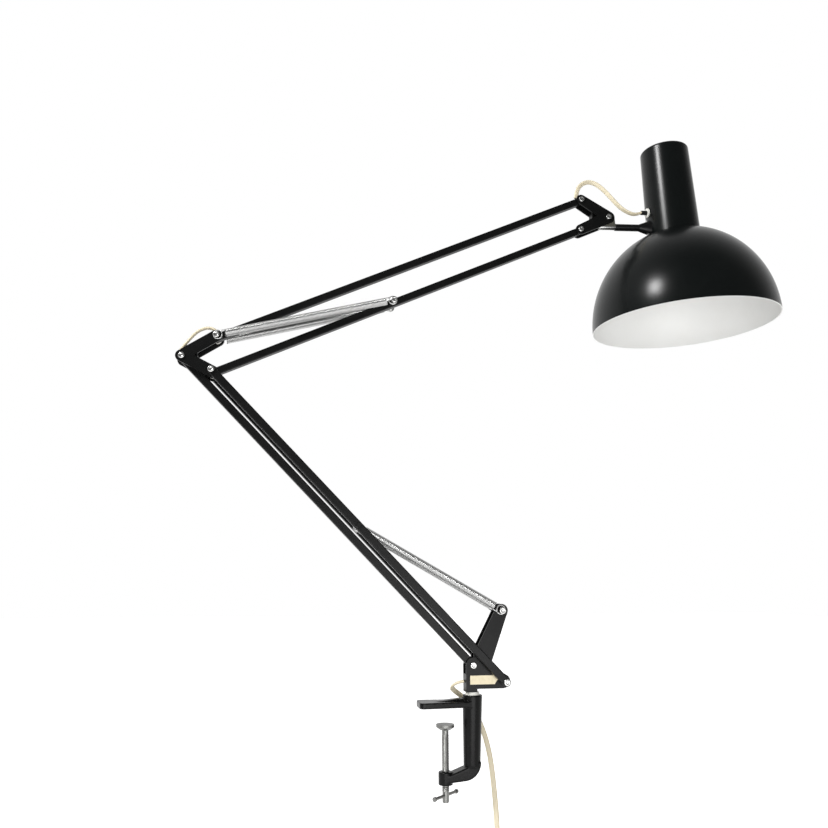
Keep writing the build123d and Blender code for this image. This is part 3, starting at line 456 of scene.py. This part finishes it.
def centre_line(obj):
    """Points of the line that a flex curve follows."""
    bare = obj.data.copy()
    bare.bevel_depth = 0.0
    bare.extrude = 0.0
    line = bpy.data.objects.new("line", bare)
    bpy.context.scene.collection.objects.link(line)
    bpy.context.view_layer.update()
    seen_line = line.evaluated_get(bpy.context.evaluated_depsgraph_get())
    mesh = bpy.data.meshes.new_from_object(seen_line)
    points = [tuple(vertex.co) for vertex in mesh.vertices]
    bpy.data.objects.remove(line)
    return points


def as_mesh(obj, degrees=None):
    """Turns a finished curve into a mesh, shaded smooth if an angle is given."""
    take(obj)
    bpy.ops.object.convert(target="MESH")
    return obj if degrees is None else smooth(obj, degrees)


def millimetres(rows):
    """Points in millimetres as vectors in metres."""
    return [Vector(row) * MM for row in rows]


# Mains lead: behind the clamp, then wound up in two layers, then to the plug
coil_radius = 40.0
coil_x = 14.5
coil_y = 13.0
coil_z = -164.0
coil_step = 2.4  # change of radius in half a turn
coil_layer = 5.4
coil_halves = 8  # half turns in a layer
half_points = 6
tail_step = 11.7
tail_shift = 1.4
lead_route = [
    (19.8, 2.0, 23.6), (13.0, 3.0, 22.5), (8.5, 9.0, 17.5), (13.0, 17.5, 13.0),
    (22.5, 19.5, 6.5), (31.0, 17.5, -3.0), (38.0, 15.0, -15.5), (44.5, 14.0, -32.0),
    (49.0, 13.5, -52.0), (51.5, 13.2, -75.0), (53.5, 13.0, -100.0), (54.5, 13.0, -128.0),
]


def coil_route():
    """Points of two layers of half turns that spiral in and out again."""
    points = []
    x = coil_x + coil_radius
    heading = -1
    for half in range(2 * coil_halves):
        radius = coil_radius - coil_step * min(half, 2 * coil_halves - half)
        centre = x + heading * radius
        for step in range(half_points):
            angle = math.pi * step / half_points
            climb = max(0, min(1, half - coil_halves + step / half_points)) * coil_layer
            points.append((centre - heading * radius * math.cos(angle), coil_y + climb,
                           coil_z + heading * radius * math.sin(angle)))
        x = x + heading * 2 * radius
        heading = -heading
    points.append((x, coil_y + coil_layer, coil_z))
    return points


loops = coil_route()
end_x, end_y, end_z = loops[-1]
tail_route = [
    (end_x, end_y, end_z - tail_step),
    (end_x + tail_shift, end_y + tail_shift, end_z - 2 * tail_step),
    (end_x + tail_shift, end_y + tail_shift, end_z - 3 * tail_step),
]
mains_route = millimetres(lead_route + loops + tail_route)
mains_cord = flex_curve("mains_cord", mains_route, 90.0, 90.0)
mains_line = centre_line(mains_cord)
as_mesh(mains_cord, flex_edge)
dress(mains_cord, "ivory_flex", None, "mains_lead", "cord_coil", "plug_lead")
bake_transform(mains_cord)

# Flex loops at the head and at the elbow
head_route = [
    (164.2, 0.0, 565.6), (165.2, 0.0, 575.0), (170.5, 0.0, 583.8), (179.5, 0.0, 589.0),
    (190.0, -0.1, 587.2), (200.5, -0.3, 579.0), (210.0, -0.5, 568.0), (219.0, -0.8, 558.0),
    (228.5, -1.0, 552.2), (238.0, -0.9, 550.0), (245.0, -0.7, 553.5),
]
head_loop = flex_curve("head_loop", millimetres(head_route), 0.0, 90.0, loop_steps)
as_mesh(head_loop, flex_edge)
dress(head_loop, "ivory_flex", None, "head_cord")
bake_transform(head_loop)
elbow_route = [
    (-277.7, 0.0, 351.0), (-272.4, 0.0, 359.4), (-266.0, 0.0, 368.6), (-259.0, 0.0, 376.6),
    (-250.5, 0.0, 380.2), (-243.5, 0.0, 379.2), (-239.3, 0.0, 375.9),
]
elbow_loop = flex_curve("elbow_loop", millimetres(elbow_route), 90.0, 90.0, loop_steps)
as_mesh(elbow_loop, flex_edge)
dress(elbow_loop, "ivory_flex", None, "elbow_cord")
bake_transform(elbow_loop)

# Flex inside the two bars
bar_flex_inset = 9.0 * MM
bar_flex_offset = 0.5 * MM


def bar_flex(name, start, end, body, node):
    """The flex inside a bar between two pivots, a little to one side of its middle."""
    length = (end - start).length
    along = (end - start).normalized()
    aside = Vector((along.z, 0, -along.x)) * bar_flex_offset
    places = (bar_flex_inset, length * 0.3, length * 0.7, length - bar_flex_inset)
    inner = flex_curve(name, [start + along * place + aside for place in places], 0.0, 0.0)
    as_mesh(inner, flex_edge)
    dress(inner, "ivory_flex", body, node)


bar_flex("rear_flex", rear_pivot, elbow_rear, "rear_arm", "rear_bar_flex")
bar_flex("top_flex", elbow_top, head_top, "top_arm", "top_bar_flex")

# Close-wound springs, each with a hook round the pin at both ends
wire_radius = 0.65 * MM
wire_sides = 8
spring_radius = 3.55 * MM
spring_pitch = 1.96 * wire_radius
spring_turn_steps = 14
spring_lead = 9.0 * MM  # pin to the first turn
weld_gap = 0.02 * MM
ring_radius = 4.5 * MM
ring_shift = 1.4 * MM
ring_start = -120  # degrees
ring_step = 30
ring_points = 13
horn_end_offset = 8.3 * MM  # springs' middle lines to the plane of the arms
cross_pin_offset = 4.9 * MM
upper_offset = 12.0 * MM


def hook(name, level, side):
    """A ring round a pin at the given level, led into the coil on the given side."""
    ring = []
    for step in range(ring_points):
        angle = math.radians(ring_start + step * ring_step)
        ring.append((ring_radius * math.sin(angle), 0,
                     level + side * (ring_shift - ring_radius * math.cos(angle))))
    ring.append((-spring_radius, 0, level + side * spring_lead))
    return as_mesh(nurbs_curve(name, ring, wire_radius, rounding=2, steps=4))


def screw_turns(name, vertices, radius, place, pitch, turns, steps):
    """A closed profile turned round Z into a screw line."""
    start_primitive()
    bpy.ops.mesh.primitive_circle_add(
        vertices=vertices, radius=radius, location=place, rotation=(math.radians(90), 0, 0))
    made = settle(named(name))
    return modify(made, "SCREW", angle=2 * math.pi, screw_offset=pitch, iterations=turns,
                  steps=steps, render_steps=steps, axis="Z")


def close_spring(name, first, last):
    """A spring between two pins: a screw-turned wire and two hooks."""
    length = (last - first).length
    wound = length - 2 * spring_lead
    turns = int(wound / spring_pitch)
    coil = screw_turns(name, wire_sides, wire_radius, (spring_radius, 0, spring_lead),
                       wound / turns, turns, spring_turn_steps)
    join(coil, hook(name + "_start", 0.0, 1), hook(name + "_end", length, -1))
    take(coil)
    bpy.ops.object.mode_set(mode="EDIT")
    bpy.ops.mesh.select_all(action="SELECT")
    bpy.ops.mesh.remove_doubles(threshold=weld_gap)
    bpy.ops.mesh.normals_make_consistent(inside=False)
    bpy.ops.object.mode_set(mode="OBJECT")
    along = (last - first).normalized()
    across = Vector((0, 1, 0)).cross(along).normalized()
    side = along.cross(across)
    turned = Matrix((across, side, along)).transposed().to_4x4()
    coil.matrix_world = Matrix.Translation(first) @ turned
    settle(coil)
    return smooth(coil, 80)


for sign, word in ((-1, "near"), (1, "far")):
    sideways = Vector((0, sign, 0))
    lower = close_spring("lower_spring_wire_" + word, horn_pin + sideways * horn_end_offset,
                         front_spring_pin + sideways * cross_pin_offset)
    dress(lower, "spring_steel", None, "lower_spring_" + word)
    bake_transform(lower)
    upper = close_spring("upper_spring_wire_" + word, elbow_top + sideways * upper_offset,
                         upper_spring_pin + sideways * upper_offset)
    dress(upper, "spring_steel", None, "upper_spring_" + word)
    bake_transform(upper)

# Shade: a spun dome, black outside and white inside
start_primitive()
bpy.ops.mesh.primitive_uv_sphere_add(segments=144, ring_count=96, radius=shade_radius)
shade = named("dome")
bpy.ops.object.mode_set(mode="EDIT")
bpy.ops.mesh.select_all(action="SELECT")
bpy.ops.mesh.bisect(plane_co=(0, 0, 0), plane_no=(0, 0, 1), clear_inner=True)
bpy.ops.mesh.select_all(action="SELECT")
bpy.ops.transform.resize(value=(1, 1, shade_rise / shade_radius), center_override=(0, 0, 0))
bpy.ops.mesh.select_all(action="SELECT")
bpy.ops.mesh.bisect(plane_co=(0, 0, shade_hole), plane_no=(0, 0, 1), clear_outer=True)
bpy.ops.object.mode_set(mode="OBJECT")
shade.rotation_euler = shade_up.to_track_quat("Z", "Y").to_euler()
shade.location = rim_centre
settle(shade)
shade.data.materials.append(looks["shade_enamel"])
shade.data.materials.append(looks["shade_white"])
modify(shade, "SOLIDIFY", thickness=shade_wall, offset=-1, material_offset=1,
       material_offset_rim=1)
smooth(shade, 40)
dress(shade, "shade_enamel", "head", "shade")

# Rivet and pin heads: a rolled ring with a dimple
cap_oversize = 1.04  # cap's foot as a share of the head's radius
cap_depth = 0.95 * MM  # cap's foot below the end of the head
cap_profile = (  # rise in millimetres, and radius as a share of the one before
    (0.9, 1.05), (0.35, 0.86), (0.12, 0.78), (-0.2, 0.74), (-0.25, 0.7),
)
capped_pins = (
    "rear_pivot_rivet", "front_pivot_rivet", "horn_spring_pin", "elbow_rear_rivet",
    "elbow_front_rivet", "elbow_spring_pin", "bar_spring_pin", "head_top_rivet",
    "head_low_rivet", "tilt_screw",
)


def rivet_cap(name, centre, radius, side):
    """A cap on the head of a rivet along Y, at the end of the given side."""
    start_primitive()
    bpy.ops.mesh.primitive_circle_add(
        vertices=40, radius=radius * cap_oversize, fill_type="NGON", location=(0, 0, 0))
    cap = named(name)
    bpy.ops.object.mode_set(mode="EDIT")
    bpy.ops.mesh.select_all(action="SELECT")
    for rise, share in cap_profile:
        bpy.ops.mesh.extrude_region_move(
            TRANSFORM_OT_translate={"value": (0, 0, rise * MM)})
        bpy.ops.transform.resize(value=(share, share, 1))
    bpy.ops.mesh.select_all(action="SELECT")
    bpy.ops.mesh.normals_make_consistent(inside=False)
    bpy.ops.object.mode_set(mode="OBJECT")
    cap.rotation_euler = (math.radians(90) * -side, 0, 0)
    cap.location = centre - Vector((0, side * cap_depth, 0))
    settle(cap)
    return smooth(cap, 70)


for name in capped_pins:
    low, high = (Vector(corner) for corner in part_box(name))
    middle = (low + high) / 2
    for side, end, word in ((-1, low.y, "near"), (1, high.y, "far")):
        cap = rivet_cap(name + "_cap_" + word, Vector((middle.x, end, middle.z)),
                        (high.x - low.x) / 2, side)
        dress(cap, "bright_steel", body_of[name])

# Clamp: a casting with soft edges, in millimetres
tongue_tip = -27
tongue_root = 26
tongue_half_width = 13
tongue_thickness = 5.6
tongue_corner = 4.5
tongue_root_share = 0.72
rib_tip = -12.2
rib_end = 28
rib_half_width = 4.5
rib_foot = 4.4
rib_top = 9.0
rib_drop = 3.4
column_x = 28
column_top = 11
column_foot = -55
column_top_radius = 9.8
column_foot_radius = 8.3
column_lean = 0.75  # top and foot from the middle, along X
arm_end = 34.4
arm_half_width = 7
arm_top = -50
arm_foot = -66
arm_foot_drop = 3  # drops of the arm's edges at the boss
arm_top_drop = 12.5
arm_corner = 15
arm_edge = 5
boss_middle = -65
boss_radius = 7
boss_height = 12
screw_bore_radius = 3.75
screw_bore_depth = 30
bush_bore_middle = -4
bush_bore_radius = 6.45
bush_bore_depth = 38
casting_voxel = 0.55
corner_reach = 1.0  # how near a vertex lies to the corner that it belongs to


def block(name, low, high):
    """A box between two corners in millimetres."""
    start_primitive()
    bpy.ops.mesh.primitive_cube_add(size=1.0)
    made = named(name)
    made.location = (Vector(low) + Vector(high)) / 2 * MM
    made.scale = (Vector(high) - Vector(low)) * MM
    return settle(made)


def rod(name, place, radius, depth, top_radius=None):
    """A round bar along Z, tapered if a top radius is given, in millimetres."""
    start_primitive()
    bpy.ops.mesh.primitive_cone_add(
        vertices=64, radius1=radius * MM, radius2=(top_radius or radius) * MM,
        depth=depth * MM, location=Vector(place) * MM)
    return settle(named(name))


def shape(obj, corner, move=None, scale=None, bevel=None):
    """Moves, scales or bevels the vertices at a corner; None in the corner fits any place."""
    take(obj)
    for vertex in obj.data.vertices:
        vertex.select = all(wanted is None or abs(at / MM - wanted) < corner_reach
                            for at, wanted in zip(vertex.co, corner))
    for edge in obj.data.edges:
        edge.select = all(obj.data.vertices[i].select for i in edge.vertices)
    for face in obj.data.polygons:
        face.select = all(obj.data.vertices[i].select for i in face.vertices)
    bpy.ops.object.mode_set(mode="EDIT")
    if move:
        bpy.ops.transform.translate(value=Vector(move) * MM)
    if scale:
        bpy.ops.transform.resize(value=scale)
    if bevel:
        bpy.ops.mesh.bevel(offset=bevel * MM, segments=8, affect="EDGES")
    bpy.ops.object.mode_set(mode="OBJECT")
    return obj


def combine(obj, other, operation):
    """A boolean with another object, which is used up."""
    modify(obj, "BOOLEAN", object=other, operation=operation, solver="EXACT")
    bpy.data.objects.remove(other)
    return obj


casting = block("clamp_casting", (tongue_tip, -tongue_half_width, 0),
                (tongue_root, tongue_half_width, tongue_thickness))
shape(casting, (tongue_root, None, None), scale=(1, tongue_root_share, 1))
shape(casting, (tongue_tip, tongue_half_width, None), bevel=tongue_corner)
shape(casting, (tongue_tip, -tongue_half_width, None), bevel=tongue_corner)
rib = block("rib", (rib_tip, -rib_half_width, rib_foot), (rib_end, rib_half_width, rib_top))
shape(rib, (rib_tip, None, rib_top), move=(0, 0, -rib_drop))
column = rod("column", (column_x - column_lean, 0, (column_top + column_foot) / 2),
             column_foot_radius, column_top - column_foot, column_top_radius)
shape(column, (None, None, column_top), move=(column_lean, 0, 0))
shape(column, (None, None, column_foot), move=(-column_lean, 0, 0))
arm = block("arm", (0, -arm_half_width, arm_foot), (arm_end, arm_half_width, arm_top))
shape(arm, (0, None, arm_foot), move=(0, 0, -arm_foot_drop))
shape(arm, (0, None, arm_top), move=(0, 0, -arm_top_drop))
shape(arm, (arm_end, None, arm_foot), bevel=arm_corner)
soften(arm, arm_edge * MM, 5, 40)
boss = rod("boss", (0, 0, boss_middle), boss_radius, boss_height)
join(casting, rib, column, arm, boss)
modify(casting, "REMESH", mode="VOXEL", voxel_size=casting_voxel * MM)
modify(casting, "SMOOTH", factor=0.5, iterations=7)
screw_bore = rod("screw_bore", (0, 0, boss_middle), screw_bore_radius, screw_bore_depth)
combine(casting, screw_bore, "DIFFERENCE")
bush_bore = rod("bush_bore", (column_x, 0, bush_bore_middle), bush_bore_radius, bush_bore_depth)
combine(casting, bush_bore, "DIFFERENCE")
smooth(casting, 50)
dress(casting, "cast_black", "clamp", "clamp_body")

# Thread of the clamp screw
thread_pitch = 1.5 * MM
thread_turns = 34
thread_radius = 3.15 * MM
thread_foot = -77 * MM
thread_depth = 0.5 * MM
thread = screw_turns("screw_thread", 3, thread_depth, (thread_radius, 0, thread_foot),
                     thread_pitch, thread_turns, 24)
smooth(thread, 20)
dress(thread, "grey_steel", "screw")

# Knuckle: a rounded tongue under the tilt screw and a sleeve round the rod, in millimetres
knuckle_radius = 8.4
knuckle_thickness = 6.8
knuckle_edge = 0.5
shank_back = -4.5
shank_front = 8.6
rod_drop = 10.3  # tilt screw to the rod's axis
sleeve_radius = 3.3
sleeve_length = 21.0
sleeve_shift = -1.3
tongue = rod("knuckle_tongue", (0, 0, 0), knuckle_radius, knuckle_thickness)
tongue.rotation_euler = (math.radians(90), 0, 0)
settle(tongue)
shank = block("shank", (shank_back, -knuckle_thickness / 2, -rod_drop),
              (shank_front, knuckle_thickness / 2, 0))
combine(tongue, shank, "UNION")
soften(tongue, knuckle_edge * MM, 3, 50)
sleeve = rod("knuckle_sleeve", (0, 0, 0), sleeve_radius, sleeve_length)
soften(sleeve, knuckle_edge * MM, 3, 50)
sleeve.rotation_euler = (0, math.radians(90), 0)
sleeve.location = (sleeve_shift * MM, 0, -rod_drop * MM)
settle(sleeve)
for piece, look in ((tongue, "knuckle_metal"), (sleeve, "bright_steel")):
    piece.rotation_euler = (0, neck_lean, 0)
    piece.location = tilt_centre
    settle(piece)
    smooth(piece, 40)
    dress(piece, look, "knuckle_body")
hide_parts("knuckle")

# Floor and light
floor_level = -0.36
floor_size = 14.0
floor_shift = 3.0  # most of the floor lies behind the lamp
floor_glow_strength = 0.75


def any_of_rays(tree, first, *others):
    """A node that is 1 for rays of any of the given kinds."""
    path = tree.nodes.new("ShaderNodeLightPath")
    largest = path
    socket = first
    for kind in others:
        both = math_node(tree, "MAXIMUM")
        link(tree, largest, socket, both, 0)
        link(tree, path, kind, both, 1)
        largest = both
        socket = 0
    return largest


start_primitive()
bpy.ops.mesh.primitive_plane_add(size=floor_size, location=(0, floor_shift, floor_level))
floor = named("floor")
floor_white = make_finish(
    "floor_white", colour=(0.9, 0.9, 0.9), fleck=(0.86, 0.86, 0.86), amount=0.3, fleck_scale=3,
    roughness=0.8, spread=0.1, grain_scale=200, grain=0.02)
floor_tree = floor_white.node_tree
floor_shader = floor_tree.nodes["Principled BSDF"]
floor_shader.inputs["Emission Color"].default_value = (1, 1, 1, 1)
floor_glow = floor_tree.nodes.new("ShaderNodeMapRange")
floor_glow.inputs["To Max"].default_value = floor_glow_strength
floor_seen = any_of_rays(floor_tree, "Is Camera Ray", "Is Glossy Ray", "Is Transmission Ray")
link(floor_tree, floor_seen, 0, floor_glow, "Value")
link(floor_tree, floor_glow, "Result", floor_shader, "Emission Strength")
floor.data.materials.append(floor_white)

# World: white where it is seen; reflections meet that white behind the lamp, and a darker room
# on the viewer's side
world = bpy.data.worlds.new("studio")
bpy.context.scene.world = world
world.use_nodes = True
sky = world.node_tree
backdrop = sky.nodes["Background"]
backdrop.inputs["Color"].default_value = (1, 1, 1, 1)
heading = sky.nodes.new("ShaderNodeTexCoord")
towards = sky.nodes.new("ShaderNodeVectorMath")
towards.operation = "DOT_PRODUCT"
towards.inputs[1].default_value = (0, 1.0, 0.1)
link(sky, heading, "Generated", towards, 0)
room = sky.nodes.new("ShaderNodeMapRange")
room.inputs["From Min"].default_value = -0.3
room.inputs["From Max"].default_value = 0.7
room.inputs["To Min"].default_value = 0.14
room.inputs["To Max"].default_value = 1.0
link(sky, towards, "Value", room, "Value")
seen = any_of_rays(sky, "Is Camera Ray", "Is Transmission Ray")
level = math_node(sky, "MAXIMUM")
link(sky, seen, 0, level, 0)
link(sky, room, "Result", level, 1)
link(sky, level, 0, backdrop, "Strength")


def softbox(name, place, target, width, height, power):
    """A rectangular light that faces a point."""
    data = bpy.data.lights.new(name, "AREA")
    data.shape = "RECTANGLE"
    data.size = width
    data.size_y = height
    data.energy = power
    obj = bpy.data.objects.new(name, data)
    bpy.context.scene.collection.objects.link(obj)
    obj.location = place
    aim = Vector(target) - Vector(place)
    obj.rotation_euler = aim.to_track_quat("-Z", "Y").to_euler()


softbox("key", place=(-1.22, -0.82, 1.42), target=(0.2, 0, 0.4), width=0.36, height=0.36, power=30)
softbox("fill", place=(0.0, -1.4, -0.3), target=(0.25, 0, 0.42), width=1.2, height=1.0, power=19)
